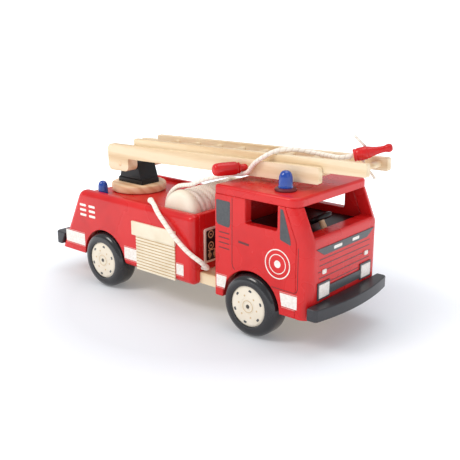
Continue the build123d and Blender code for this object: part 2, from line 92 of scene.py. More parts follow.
def add_node(tree: bpy.types.NodeTree, kind: str, settings: dict | None = None,
             links: dict | None = None) -> bpy.types.Node:
    """Add one shader node with its settings and incoming links.

    Args:
        tree: Node tree of the material.
        kind: Node type name.
        settings: Property or unlinked socket values by name or socket index.
        links: Output sockets by the name or index of the input they feed.

    Returns:
        The new node.
    """
    node = tree.nodes.new(kind)
    for key, value in (settings or {}).items():
        if isinstance(key, str) and hasattr(node, key):
            setattr(node, key, value)
        else:
            node.inputs[key].default_value = value
    for key, source in (links or {}).items():
        tree.links.new(source, node.inputs[key])
    return node


def ramp(tree: bpy.types.NodeTree, source: bpy.types.NodeSocket, stops: Sequence[tuple[float, str]]
         ) -> bpy.types.NodeSocket:
    """Colour a value through a ramp.

    Args:
        tree: Node tree of the material.
        source: The value to colour.
        stops: Positions with their hex colours.

    Returns:
        The ramp's colour socket.
    """
    node = add_node(tree, "ShaderNodeValToRGB", links={"Fac": source})
    elements = node.color_ramp.elements
    while len(elements) < len(stops):
        elements.new(0.5)
    for element, (position, code) in zip(elements, stops):
        element.position = position
        element.color = srgb(code)
    return node.outputs["Color"]


# ------------------------------------------------------------------ finishes

@dataclass(frozen=True)
class Finish:
    """A surface as a maker would order it; build() gives its material."""

    name: str
    slot: str

    def start(self, roughness: float, ior: float = 1.5, coat: float = 0.0
              ) -> tuple[bpy.types.Material, bpy.types.NodeTree, bpy.types.Node, bpy.types.NodeSocket]:
        """Open the material.

        Args:
            roughness: Base roughness.
            ior: Index of refraction.
            coat: Clear coat weight.

        Returns:
            The material, its tree, its shader and the object coordinates.
        """
        material = bpy.data.materials.new(self.name)
        material.use_nodes = True
        tree = material.node_tree
        shader = tree.nodes["Principled BSDF"]
        shader.inputs["Roughness"].default_value = roughness
        shader.inputs["IOR"].default_value = ior
        shader.inputs["Coat Weight"].default_value = coat
        shader.inputs["Coat Roughness"].default_value = 0.08
        place = add_node(tree, "ShaderNodeTexCoord").outputs["Object"]
        return material, tree, shader, place

    def bump(self, tree: bpy.types.NodeTree, shader: bpy.types.Node, height: bpy.types.NodeSocket,
             strength: float, depth_mm: float) -> None:
        """Raise the surface by a height pattern.

        Args:
            tree: Node tree of the material.
            shader: Shader that takes the normal.
            height: Height from zero to one.
            strength: How much of the effect shows.
            depth_mm: Real depth of the pattern.
        """
        relief = add_node(tree, "ShaderNodeBump", {"Strength": strength, "Distance": depth_mm * MM},
                          {"Height": height})
        tree.links.new(relief.outputs["Normal"], shader.inputs["Normal"])

    def build(self) -> bpy.types.Material:
        """Make the material."""
        raise NotImplementedError


@dataclass(frozen=True)
class SprayedLacquer(Finish):
    """Nitrocellulose enamel sprayed on sanded wood: a soft gloss over a faint orange peel."""

    colour: str = "D01C1D"
    deep: str = "C41618"
    thin: str = "D82423"
    roughness: float = 0.24
    coat: float = 0.08

    def build(self) -> bpy.types.Material:
        """Make the material: pooled and thin spray over 40 mm, wood figure below, 1.2 mm peel."""
        material, tree, shader, place = self.start(self.roughness, 1.4, self.coat)
        pool = add_node(tree, "ShaderNodeTexNoise", {"Scale": 1 / (40 * MM), "Detail": 2.0},
                        {"Vector": place})
        tint = ramp(tree, pool.outputs["Fac"], [(0.32, self.deep), (0.5, self.colour), (0.72, self.thin)])
        tree.links.new(tint, shader.inputs["Base Color"])
        stretch = add_node(tree, "ShaderNodeMapping", {"Scale": (0.06, 1.0, 1.0)}, {"Vector": place})
        grain = add_node(tree, "ShaderNodeTexNoise", {"Scale": 1 / (1.6 * MM), "Detail": 3.0},
                         {"Vector": stretch.outputs[0]})
        peel = add_node(tree, "ShaderNodeTexNoise", {"Scale": 1 / (1.2 * MM), "Detail": 1.0},
                        {"Vector": place})
        height = add_node(tree, "ShaderNodeMath", {"operation": "MULTIPLY_ADD", 1: 0.45},
                          {0: grain.outputs["Fac"], 2: peel.outputs["Fac"]})
        self.bump(tree, shader, height.outputs[0], 0.12, 0.05)
        gloss = add_node(tree, "ShaderNodeMapRange",
                         {"To Min": self.roughness * 0.75, "To Max": self.roughness * 1.5},
                         {"Value": pool.outputs["Fac"]})
        tree.links.new(gloss.outputs[0], shader.inputs["Roughness"])
        return material


@dataclass(frozen=True)
class ClearTimber(Finish):
    """Sawn and sanded light hardwood under a thin clear varnish: soft long grain and fine pores."""

    light: str = "EBD6B4"
    middle: str = "E2C8A0"
    dark: str = "D2B084"
    ring_mm: float = 5.0
    turn: Point3 = (0.0, 0.0, 0.0)
    roughness: float = 0.42

    def build(self) -> bpy.types.Material:
        """Make the material: growth rings, fibre streaks along X, and pores."""
        material, tree, shader, place = self.start(self.roughness, 1.5, 0.1)
        square = add_node(tree, "ShaderNodeMapping", {"Rotation": self.turn}, {"Vector": place})
        slow = add_node(tree, "ShaderNodeMapping", {"Scale": (0.05, 1.0, 1.0)}, {"Vector": square.outputs[0]})
        wobble = add_node(tree, "ShaderNodeTexNoise", {"Scale": 1 / (14 * MM), "Detail": 2.0},
                          {"Vector": slow.outputs[0]})
        rings = add_node(tree, "ShaderNodeTexWave",
                         {"wave_type": "BANDS", "bands_direction": "DIAGONAL",
                          "Scale": 1 / (self.ring_mm * MM) / 6, "Distortion": 3.0, "Detail": 2.0,
                          "Detail Scale": 1.2},
                         {"Vector": slow.outputs[0]})
        fibre = add_node(tree, "ShaderNodeTexNoise", {"Scale": 1 / (0.9 * MM), "Detail": 4.0},
                         {"Vector": slow.outputs[0]})
        blend = add_node(tree, "ShaderNodeMath", {"operation": "MULTIPLY_ADD", 1: 0.5},
                         {0: rings.outputs["Fac"], 2: wobble.outputs["Fac"]})
        mixed = add_node(tree, "ShaderNodeMath", {"operation": "MULTIPLY_ADD", 1: 0.35},
                         {0: fibre.outputs["Fac"], 2: blend.outputs[0]})
        tint = ramp(tree, mixed.outputs[0], [(0.45, self.dark), (0.78, self.middle), (1.0, self.light)])
        tree.links.new(tint, shader.inputs["Base Color"])
        self.bump(tree, shader, fibre.outputs["Fac"], 0.25, 0.06)
        return material


@dataclass(frozen=True)
class SatinPaint(Finish):
    """Brushed or dipped satin paint: even, with faint nap and slightly polished high spots."""

    colour: str = "2C2C30"
    worn: str = "3A3A3E"
    roughness: float = 0.38
    coat: float = 0.1
    nap_mm: float = 0.9

    def build(self) -> bpy.types.Material:
        """Make the material: cloudy tone over 25 mm and a nap of the given spacing."""
        material, tree, shader, place = self.start(self.roughness, 1.4, self.coat)
        cloud = add_node(tree, "ShaderNodeTexNoise", {"Scale": 1 / (25 * MM), "Detail": 3.0},
                         {"Vector": place})
        tint = ramp(tree, cloud.outputs["Fac"], [(0.35, self.colour), (0.75, self.worn)])
        tree.links.new(tint, shader.inputs["Base Color"])
        nap = add_node(tree, "ShaderNodeTexNoise", {"Scale": 1 / (self.nap_mm * MM), "Detail": 2.0},
                       {"Vector": place})
        self.bump(tree, shader, nap.outputs["Fac"], 0.2, 0.05)
        gloss = add_node(tree, "ShaderNodeMapRange",
                         {"To Min": self.roughness * 0.8, "To Max": self.roughness * 1.3},
                         {"Value": cloud.outputs["Fac"]})
        tree.links.new(gloss.outputs[0], shader.inputs["Roughness"])
        return material


@dataclass(frozen=True)
class RuledPaint(Finish):
    """Cream paint with tan lines ruled across it at an even pitch, as on a roller shutter."""

    colour: str = "F0E4CC"
    shade: str = "E6D8BC"
    line: str = "C8A878"
    pitch_mm: float = 3.35
    first_mm: float = 34.6
    top_mm: float = 69.5

    def build(self) -> bpy.types.Material:
        """Make the material: a 0.9 mm tan line at each pitch, below the header only."""
        material, tree, shader, place = self.start(0.42, 1.48, 0.1)
        cloud = add_node(tree, "ShaderNodeTexNoise", {"Scale": 1 / (18 * MM), "Detail": 2.0},
                         {"Vector": place})
        base = ramp(tree, cloud.outputs["Fac"], [(0.35, self.shade), (0.65, self.colour)])
        height = add_node(tree, "ShaderNodeSeparateXYZ", links={0: place}).outputs["Z"]
        steps = add_node(tree, "ShaderNodeMath", {"operation": "MULTIPLY_ADD", 1: 1 / (self.pitch_mm * MM),
                                                  2: 0.5 - (self.first_mm + RIDE) / self.pitch_mm},
                         {0: height})
        part = add_node(tree, "ShaderNodeMath", {"operation": "FRACT"}, {0: steps.outputs[0]})
        near = add_node(tree, "ShaderNodeMath", {"operation": "COMPARE", 1: 0.5, 2: 0.45 / self.pitch_mm},
                        {0: part.outputs[0]})
        below = add_node(tree, "ShaderNodeMath", {"operation": "LESS_THAN", 1: (self.top_mm + RIDE) * MM},
                         {0: height})
        mask = add_node(tree, "ShaderNodeMath", {"operation": "MULTIPLY"},
                        {0: near.outputs[0], 1: below.outputs[0]})
        mix = add_node(tree, "ShaderNodeMix", {"data_type": "RGBA", 7: srgb(self.line)},
                       {0: mask.outputs[0], 6: base})
        tree.links.new(mix.outputs[2], shader.inputs["Base Color"])
        self.bump(tree, shader, cloud.outputs["Fac"], 0.1, 0.08)
        return material


@dataclass(frozen=True)
class ScreenInk(Finish):
    """Screen-printed ink, slightly uneven where the mesh let less through."""

    colour: str = "F4EFE8"
    thin: str = "E8DED4"
    roughness: float = 0.4

    def build(self) -> bpy.types.Material:
        """Make the material: mottling of about 2 mm."""
        material, tree, shader, place = self.start(self.roughness, 1.48, 0.1)
        mottle = add_node(tree, "ShaderNodeTexNoise", {"Scale": 1 / (2 * MM), "Detail": 3.0},
                          {"Vector": place})
        tint = ramp(tree, mottle.outputs["Fac"], [(0.35, self.thin), (0.62, self.colour)])
        tree.links.new(tint, shader.inputs["Base Color"])
        self.bump(tree, shader, mottle.outputs["Fac"], 0.08, 0.03)
        return material


@dataclass(frozen=True)
class CottonCord(Finish):
    """Twisted cotton cord: slanting strands with shaded valleys and a dull fibrous surface."""

    light: str = "F3EBDF"
    valley: str = "DED0BE"
    twist_mm: float = 4.0
    length_mm: float = 100.0
    lay: Lay = Lay.ALONG_CORD

    def build(self) -> bpy.types.Material:
        """Make the material: strands at the twist spacing, with fine fibre noise."""
        material, tree, shader, place = self.start(0.85, 1.45, 0.0)
        shader.inputs["Sheen Weight"].default_value = 0.25
        if self.lay is Lay.ALONG_CORD:
            skin = add_node(tree, "ShaderNodeTexCoord").outputs["UV"]
            split = add_node(tree, "ShaderNodeSeparateXYZ", links={0: skin})
            along = add_node(tree, "ShaderNodeMath",
                             {"operation": "MULTIPLY_ADD", 1: self.length_mm / self.twist_mm},
                             {0: split.outputs["X"], 2: split.outputs["Y"]})
        else:
            split = add_node(tree, "ShaderNodeSeparateXYZ", links={0: place})
            lean = add_node(tree, "ShaderNodeMath", {"operation": "MULTIPLY_ADD", 1: 1.7},
                            {0: split.outputs["Y"], 2: split.outputs["X"]})
            along = add_node(tree, "ShaderNodeMath", {"operation": "DIVIDE", 1: self.twist_mm * MM},
                             {0: lean.outputs[0]})
        phase = add_node(tree, "ShaderNodeMath", {"operation": "FRACT"}, {0: along.outputs[0]})
        strand = add_node(tree, "ShaderNodeMath", {"operation": "PINGPONG", 1: 0.5}, {0: phase.outputs[0]})
        fibre = add_node(tree, "ShaderNodeTexNoise", {"Scale": 1 / (0.5 * MM), "Detail": 3.0},
                         {"Vector": place})
        both = add_node(tree, "ShaderNodeMath", {"operation": "MULTIPLY_ADD", 1: 0.3},
                        {0: fibre.outputs["Fac"], 2: strand.outputs[0]})
        tint = ramp(tree, both.outputs[0], [(0.12, self.valley), (0.34, self.light)])
        tree.links.new(tint, shader.inputs["Base Color"])
        self.bump(tree, shader, both.outputs[0], 0.6, 0.4)
        return material


@dataclass(frozen=True)
class DrawnSteel(Finish):
    """Drawn steel rod, a little dull, with marks along its length."""

    colour: str = "6A6662"

    def build(self) -> bpy.types.Material:
        """Make the material: fine draw marks at 0.3 mm."""
        material, tree, shader, place = self.start(0.4)
        shader.inputs["Metallic"].default_value = 1.0
        marks = add_node(tree, "ShaderNodeTexNoise", {"Scale": 1 / (0.3 * MM), "Detail": 2.0},
                         {"Vector": place})
        tint = ramp(tree, marks.outputs["Fac"], [(0.3, "55514D"), (0.7, self.colour)])
        tree.links.new(tint, shader.inputs["Base Color"])
        self.bump(tree, shader, marks.outputs["Fac"], 0.15, 0.03)
        return material


@dataclass
class PaintShop:
    """All finishes of the toy, each made once."""

    red: SprayedLacquer = SprayedLacquer("red_enamel_on_wood", "red_paint")
    dark_red: SprayedLacquer = SprayedLacquer("dark_red_enamel", "dark_red", "5A1420", "4A0E18", "6A1A26",
                                              0.3, 0.2)
    blue: SprayedLacquer = SprayedLacquer("blue_enamel_on_turned_wood", "blue_paint", "0E3E98", "0A3080",
                                          "1448A8", 0.1, 0.6)
    cream: SatinPaint = SatinPaint("cream_paint", "cream_paint", "EEE4D2", "E4D8C2", 0.45, 0.05)
    black: SatinPaint = SatinPaint("black_gloss_paint", "black_paint", "0A090A", "121012", 0.34, 0.0)
    grey: SatinPaint = SatinPaint("charcoal_satin_paint", "grey_paint", "2C2C2F", "38383C", 0.35, 0.15)
    tyre: SatinPaint = SatinPaint("charcoal_tyre_paint", "tyre_paint", "1E1E20", "262629", 0.22, 0.45)
    timber: ClearTimber = ClearTimber("varnished_light_hardwood", "pale_wood", turn=(0.0, radians(2.0), 0.0))
    board: ClearTimber = ClearTimber("clear_pine_board", "pale_wood", "F2DEB8", "EAD0A4", "DAB988", 7.0)
    beech: ClearTimber = ClearTimber("turned_beech", "birch_wood", "F0CFA8", "E8BE94", "D4A478", 3.2,
                                     roughness=0.5)
    shutter: RuledPaint = RuledPaint("cream_shutter_paint", "cream_paint")
    white_ink: ScreenInk = ScreenInk("white_screen_ink", "lamp_white")
    pink_ink: ScreenInk = ScreenInk("rose_screen_ink", "lamp_white", "E8A8A0", "DC9890")
    dark_ink: ScreenInk = ScreenInk("charcoal_screen_ink", "grey_paint", "3E4144", "484B4E", 0.3)
    line_ink: ScreenInk = ScreenInk("brown_line_ink", "grey_paint", "5A1A1C", "681F20", 0.35)
    tan_ink: ScreenInk = ScreenInk("tan_screen_ink", "cream_paint", "D8BC90", "CCAE80", 0.4)
    steel: DrawnSteel = DrawnSteel("drawn_steel_rod", "steel")
    winding: CottonCord = CottonCord("wound_cotton_hose", "hose_cord", twist_mm=3.4, lay=Lay.ROUND_REEL)
    made: dict[str, bpy.types.Material] = field(default_factory=dict)

    def material(self, finish: Finish) -> bpy.types.Material:
        """Give a finish's material, building it on first use."""
        if finish.name not in self.made:
            self.made[finish.name] = finish.build()
        return self.made[finish.name]


# ------------------------------------------------------------------ making pieces

def gather(whole: bmesh.types.BMesh, part: bmesh.types.BMesh) -> None:
    """Add one shape to another and free it.

    Args:
        whole: The shape that grows.
        part: The shape that is added.
    """
    mesh = bpy.data.meshes.new("part")
    part.to_mesh(mesh)
    part.free()
    whole.from_mesh(mesh)
    bpy.data.meshes.remove(mesh)


@dataclass
class Bench:
    """What every sub-assembly uses to shape, place and dress its pieces."""

    shop: PaintShop
    count: int = field(default=0, init=False)

    def close(self, bm: bmesh.types.BMesh, name: str, body: str, finish: Finish,
              stands_for: Iterable[str] = (), sharp: float = 32.0, flat: bool = False) -> bpy.types.Object:
        """Turn a bmesh into a finished piece.

        Args:
            bm: The shape, in metres, in the row frame; it is freed.
            name: Piece name.
            body: Body that it rides on.
            finish: Surface finish.
            stands_for: CAD nodes that it replaces.
            sharp: Angle in degrees above which an edge stays crisp.
            flat: Whether large flat faces keep their own normals.

        Returns:
            The new object.
        """
        bmesh.ops.recalc_face_normals(bm, faces=bm.faces[:])
        mesh = bpy.data.meshes.new(name)
        bm.to_mesh(mesh)
        bm.free()
        mesh.shade_smooth()
        mesh.set_sharp_from_angle(angle=radians(sharp))
        piece = bpy.data.objects.new(name, mesh)
        bpy.context.collection.objects.link(piece)
        mesh.materials.append(self.shop.material(finish))
        if flat:
            weighted = piece.modifiers.new("flat_faces", "WEIGHTED_NORMAL")
            weighted.keep_sharp = True
            weighted.weight = 100
        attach(piece, body)
        if stands_for:
            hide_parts(*stands_for)
        self.count += 1
        LOG.info("made %s", name)
        return piece

    def soften(self, node: str, body: str, finish: Finish, width: float = 1.0, segments: int = 3
               ) -> bpy.types.Object:
        """Copy a CAD board, merge it and round its arrises.

        Args:
            node: CAD node.
            body: Body that it rides on.
            finish: Surface finish.
            width: Arris width in mm.
            segments: Facets of each rounded arris.

        Returns:
            The board that stands for the node.
        """
        bm = bmesh.new()
        bm.from_mesh(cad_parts[node].data)
        bmesh.ops.remove_doubles(bm, verts=bm.verts[:], dist=2e-6)
        bmesh.ops.dissolve_limit(bm, angle_limit=radians(0.4), verts=bm.verts[:], edges=bm.edges[:])
        crisp = [e for e in bm.edges if e.is_manifold and e.calc_face_angle(0.0) > radians(35)]
        bmesh.ops.bevel(bm, geom=crisp, offset=width * MM, offset_type="OFFSET", segments=segments,
                        profile=0.5, affect="EDGES", clamp_overlap=True, material=-1)
        return self.close(bm, node + "_board", body, finish, (node,), 50.0, True)

    def dress(self, node: str, finish: Finish) -> None:
        """Give a CAD node that stays in view its finish."""
        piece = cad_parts[node]
        if not piece.material_slots:
            piece.data.materials.append(None)
        for place in piece.material_slots:
            place.material = self.shop.material(finish)
        LOG.info("dressed %s", node)

    def turn_up(self, profile: Sequence[Point2], origin: Point3, axis: Point3, steps: int = 64
                ) -> bmesh.types.BMesh:
        """Turn a profile on a lathe.

        Args:
            profile: Radius and height pairs in mm.
            origin: Point on the axis in mm.
            axis: Direction of growing height.
            steps: Facets round the turn.

        Returns:
            The closed shape.
        """
        bm = bmesh.new()
        along = Vector(axis).normalized()
        out = along.orthogonal().normalized()
        base = Vector(origin)
        ring = [bm.verts.new(spot(base + out * r + along * h)) for r, h in profile]
        for a, b in zip(ring, ring[1:]):
            bm.edges.new((a, b))
        if profile[0][0] > 0.01 and profile[-1][0] > 0.01:
            bm.edges.new((ring[-1], ring[0]))
        bmesh.ops.spin(bm, geom=bm.verts[:] + bm.edges[:], cent=spot(base), axis=along, dvec=(0, 0, 0),
                       angle=2 * pi, steps=steps, use_merge=True, use_normal_flip=False, use_duplicate=False)
        bmesh.ops.remove_doubles(bm, verts=bm.verts[:], dist=2e-6)
        return bm

    def lift(self, bm: bmesh.types.BMesh, faces: Iterable[bmesh.types.BMFace], normal: Vector,
             thickness: float) -> None:
        """Give flat faces a thickness in mm along a normal."""
        grown = bmesh.ops.extrude_face_region(bm, geom=list(faces), use_keep_orig=True)
        bmesh.ops.translate(bm, vec=normal * thickness * MM,
                            verts=[v for v in grown["geom"] if isinstance(v, bmesh.types.BMVert)])


@dataclass
class Print:
    """A flat print on one face of the toy: 2-D points are laid on the face's own axes."""

    origin: Point3
    across: Point3
    up: Point3
    ink_mm: float = 0.12

    @property
    def out(self) -> Vector:
        """The face's outward normal."""
        return Vector(self.across).cross(Vector(self.up)).normalized()

    def at(self, point: Point2, lift: float = 0.02) -> Vector:
        """Place a 2-D point in mm on the face, in metres."""
        place = Vector(self.origin) + Vector(self.across) * point[0] + Vector(self.up) * point[1]
        return spot(place + self.out * lift)

    def patch(self, bm: bmesh.types.BMesh, bench: Bench, outline: Sequence[Point2], round_mm: float = 0.0,
              lift: float = 0.02) -> None:
        """Print one filled shape, with its corners rounded if asked.

        Args:
            bm: Where it is added.
            bench: The bench that gives the ink its thickness.
            outline: Corner points in mm.
            round_mm: Corner radius.
            lift: Height above the face in mm.
        """
        shape = bmesh.new()
        corners = [shape.verts.new(self.at(p, lift)) for p in outline]
        shape.faces.new(corners)
        if round_mm > 0:
            bmesh.ops.bevel(shape, geom=corners, offset=round_mm * MM, offset_type="OFFSET", segments=4,
                            profile=0.5, affect="VERTICES", clamp_overlap=True, material=-1)
        bench.lift(shape, shape.faces[:], self.out, self.ink_mm)
        gather(bm, shape)

    def line(self, bm: bmesh.types.BMesh, bench: Bench, route: Sequence[Point2], width: float) -> None:
        """Print a ruled line of even width through the points.

        Args:
            bm: Where it is added.
            bench: The bench that gives the ink its thickness.
            route: Points in mm.
            width: Line width in mm.
        """
        for (ax, ay), (bx, by) in zip(route, route[1:]):
            run = Vector((bx - ax, by - ay)).normalized() * width / 2
            side = Vector((-run.y, run.x))
            quad = [(ax - run.x + side.x, ay - run.y + side.y), (ax - run.x - side.x, ay - run.y - side.y),
                    (bx + run.x - side.x, by + run.y - side.y), (bx + run.x + side.x, by + run.y + side.y)]
            self.patch(bm, bench, quad)

    def ring(self, bm: bmesh.types.BMesh, bench: Bench, centre: Point2, outer: float, inner: float,
             segments: int = 48) -> None:
        """Print a ring, or a dot where the inner radius is zero."""
        turn = Matrix((Vector(self.across), Vector(self.up), self.out)).transposed().to_4x4()
        place = Matrix.Translation(self.at(centre)) @ turn
        edge = bmesh.ops.create_circle(bm, cap_ends=inner <= 0, segments=segments, radius=outer * MM,
                                       matrix=place)["verts"]
        if inner > 0:
            hole = bmesh.ops.create_circle(bm, cap_ends=False, segments=segments, radius=inner * MM,
                                           matrix=place)["verts"]
            edges = {e for v in edge + hole for e in v.link_edges}
            faces = bmesh.ops.bridge_loops(bm, edges=list(edges))["faces"]
        else:
            faces = list({f for v in edge for f in v.link_faces})
        bench.lift(bm, faces, self.out, self.ink_mm)


@dataclass
class RearBody(Bench):
    """Rear body: side boards with shutters, sloping end, deck, front wall, bumper and its prints."""

    face_y: float = 61.0
    stripes: tuple[tuple[float, float, float, float], ...] = (
        (-181.0, -146.5, 39.4, 53.5), (-78.5, -58.8, 39.4, 52.6), (1.6, 12.0, 39.4, 51.0))
    bars: tuple[tuple[float, float], ...] = ((-152.5, -141.5), (-137.0, -126.0))
    bar_rows: tuple[float, ...] = (75.5, 81.3, 87.1)
    bar_height: float = 2.8

    def make(self) -> None:
        """Build every piece of the rear body."""
        red = self.shop.red
        for node, width in (("rear_side_right", 1.6), ("rear_side_left", 1.6), ("rear_end_panel", 0.8),
                            ("rear_deck", 0.5), ("rear_front_wall", 0.6)):
            self.soften(node, "vehicle", red, width)
        self.soften("chassis_board", "vehicle", self.shop.board, 0.8)
        self.soften("axle_blocks", "vehicle", self.shop.board, 0.8)
        self.soften("rear_bumper", "vehicle", self.shop.grey, 1.4)
        for side in Side:
            label = side.name.lower()
            self.soften(f"shutter_{label}", "vehicle", self.shop.shutter, 0.25, 2)
            self.side_prints(side)

    def side_prints(self, side: Side) -> None:
        """Print the stripes and the plain number block of one flank."""
        s = side.value
        label = side.name.lower()
        face = Print((0, s * self.face_y, 0), (-s, 0, 0), (0, 0, 1))
        white, edge = bmesh.new(), bmesh.new()
        for x0, x1, z0, z1 in self.stripes:
            box = [(-s * x0, z0), (-s * x1, z0), (-s * x1, z1), (-s * x0, z1)]
            face.patch(white, self, box, 0.4)
            face.line(edge, self, [(-s * x0, z1 + 1.1), (-s * x1, z1 + 1.1)], 0.5)
            face.line(edge, self, [(-s * x0, z0 - 1.1), (-s * x1, z0 - 1.1)], 0.5)
        for x0, x1 in self.bars:
            for z0 in self.bar_rows:
                z1 = z0 + self.bar_height
                face.patch(white, self, [(-s * x0, z0), (-s * x1, z0), (-s * x1, z1), (-s * x0, z1)], 1.2)
        self.close(white, f"rear_{label}_white_print", "vehicle", self.shop.white_ink)
        self.close(edge, f"rear_{label}_stripe_edges", "vehicle", self.shop.pink_ink)


@dataclass
class PumpPanel(Bench):
    """Printed pump panel on the front wall of the rear body."""

    face_x: float = 27.5
    gauges: tuple[Point2, ...] = ((-36, 82), (-36, 70), (-24, 76), (24, 76), (36, 82), (36, 70),
                                  (-10, 80), (10, 80))

    def make(self) -> None:
        """Build the panel and its dials, pipes and valves."""
        self.soften("pump_panel", "vehicle", self.shop.cream, 0.4, 2)
        face = Print((self.face_x, 0, 0), (0, 1, 0), (0, 0, 1), 0.15)
        dark, tan = bmesh.new(), bmesh.new()
        face.patch(dark, self, [(-43, 54.6), (43, 54.6), (43, 86.6), (-43, 86.6)], 1.5)
        over = Print((self.face_x + 0.15, 0, 0), (0, 1, 0), (0, 0, 1), 0.15)
        for centre in self.gauges:
            over.ring(tan, self, centre, 4.2, 3.1, 32)
            over.ring(tan, self, centre, 1.0, 0.0, 16)
        for y in (-38, -30, -18, 0, 18, 30, 38):
            over.line(tan, self, [(y, 57), (y, 64)], 1.8)
            over.ring(tan, self, (y, 60), 2.6, 1.6, 24)
        over.line(tan, self, [(-40, 65.2), (40, 65.2)], 1.0)
        self.close(dark, "pump_panel_black_print", "vehicle", self.shop.black)
        self.close(tan, "pump_panel_tan_print", "vehicle", self.shop.tan_ink)


@dataclass
class Cab(Bench):
    """Cab: sides, front, roof, back, inner shelf, steering, and the prints on its flanks."""

    face_y: float = 61.0
    wheel_ring: float = 9.4
    wheel_rim: float = 2.7
    steer_origin: Point3 = (147.5, -7.0, 102.4)
    steer_axis: Point3 = (-0.5, 0.0, 0.8660254)

    def make(self) -> None:
        """Build every piece of the cab."""
        red = self.shop.red
        for node, width in (("cab_side_right", 1.2), ("cab_side_left", 1.2), ("cab_front_panel", 1.0),
                            ("cab_roof", 0.8), ("cab_back_wall", 0.6)):
            self.soften(node, "vehicle", red, width)
        self.soften("dash_shelf", "vehicle", self.shop.black, 0.8)
        self.dress("steering_column", self.shop.beech)
        self.steering_wheel()
        for side in Side:
            self.flank_prints(side)

    def steering_wheel(self) -> None:
        """Turn the rim and hub of the steering wheel and set three spokes between them."""
        axis = Vector(self.steer_axis).normalized()
        centre = Vector(self.steer_origin) + axis * 12.8
        loop = [(self.wheel_ring + self.wheel_rim * cos(a), self.wheel_rim * sin(a))
                for a in [2 * pi * i / 14 for i in range(14)]]
        bm = self.turn_up(loop, tuple(centre), tuple(axis), 48)
        hub = self.turn_up([(1.56, -2.0), (3.6, -2.0), (4.2, -1.4), (4.2, 0.8), (3.6, 1.5), (1.56, 1.6)],
                           tuple(centre), tuple(axis), 32)
        side = axis.orthogonal().normalized()
        other = axis.cross(side)
        for turn in (90, 210, 330):
            out = side * cos(radians(turn)) + other * sin(radians(turn))
            place = Matrix((out, axis.cross(out), axis)).transposed().to_4x4()
            place.translation = spot(centre + out * 5.4)
            spoke = bmesh.ops.create_cube(hub, size=1.0, matrix=place @ Matrix.Diagonal(
                (6.0 * MM, 3.4 * MM, 2.6 * MM, 1.0)))["verts"]
            edges = list({e for v in spoke for e in v.link_edges})
            bmesh.ops.bevel(hub, geom=edges, offset=0.5 * MM, offset_type="OFFSET", segments=3, profile=0.5,
                            affect="EDGES", clamp_overlap=True, material=-1)
        gather(bm, hub)
        self.close(bm, "steering_wheel_turned", "steering", self.shop.black, ("steering_wheel",))

    def flank_prints(self, side: Side) -> None:
        """Print windows, door lines, vents, handle, stripes and the plain roundel of one flank."""
        s = side.value
        label = side.name.lower()
        face = Print((0, s * self.face_y, 0), (-s, 0, 0), (0, 0, 1))

        def flip(points: Sequence[Point2]) -> list[Point2]:
            """Lay X, Z points on this flank."""
            return [(-s * x, z) for x, z in points]

        glass, lines, white, edge = bmesh.new(), bmesh.new(), bmesh.new(), bmesh.new()
        face.patch(glass, self, flip([(59.0, 104.5), (73.5, 102.8), (75.0, 106.0), (75.0, 128.6),
                                      (57.4, 129.0), (57.6, 107.5)]), 1.6)
        face.patch(glass, self, flip([(134.4, 103.4), (146.8, 99.8), (145.8, 106.5), (137.4, 131.6),
                                      (134.2, 132.4)]), 1.2)
        for i in range(4):
            z = 97.2 - 5.2 * i
            face.line(lines, self, flip([(61.2, z), (73.4, z - 0.4)]), 1.0)
        face.line(lines, self, flip([(86.6, 91.6), (97.0, 90.6)]), 2.2)
        face.line(lines, self, flip([(77.5, 133.0), (77.5, 68.0), (78.6, 64.6), (80.6, 62.4)]), 0.6)
        face.line(lines, self, flip([(125.6, 56.0), (151.0, 55.6), (154.0, 57.0), (155.1, 60.0),
                                     (155.1, 99.0)]), 0.6)
        for outer, inner in ((14.4, 13.3), (9.6, 8.8), (3.6, 0.0)):
            face.ring(white, self, (-s * 132.0, 79.4), outer, inner)
        for x0, x1, x2, z0, z1 in ((57.4, 57.4, 70.6, 40.4, 52.6), (137.6, 135.2, 154.8, 40.0, 52.6)):
            corner = x2 - (2.4 if x0 < 100 else 0)
            face.patch(white, self, flip([(x0, z0), (corner, z0), (x2, z1), (x1, z1)]), 0.4)
            face.line(edge, self, flip([(x1, z1 + 1.1), (x2, z1 + 1.1)]), 0.5)
            face.line(edge, self, flip([(x0, z0 - 1.1), (x2 - 2.4, z0 - 1.1)]), 0.5)
        self.close(glass, f"cab_{label}_dark_windows", "vehicle", self.shop.dark_ink)
        self.close(lines, f"cab_{label}_line_print", "vehicle", self.shop.line_ink)
        self.close(white, f"cab_{label}_white_print", "vehicle", self.shop.white_ink)
        self.close(edge, f"cab_{label}_stripe_edges", "vehicle", self.shop.pink_ink)


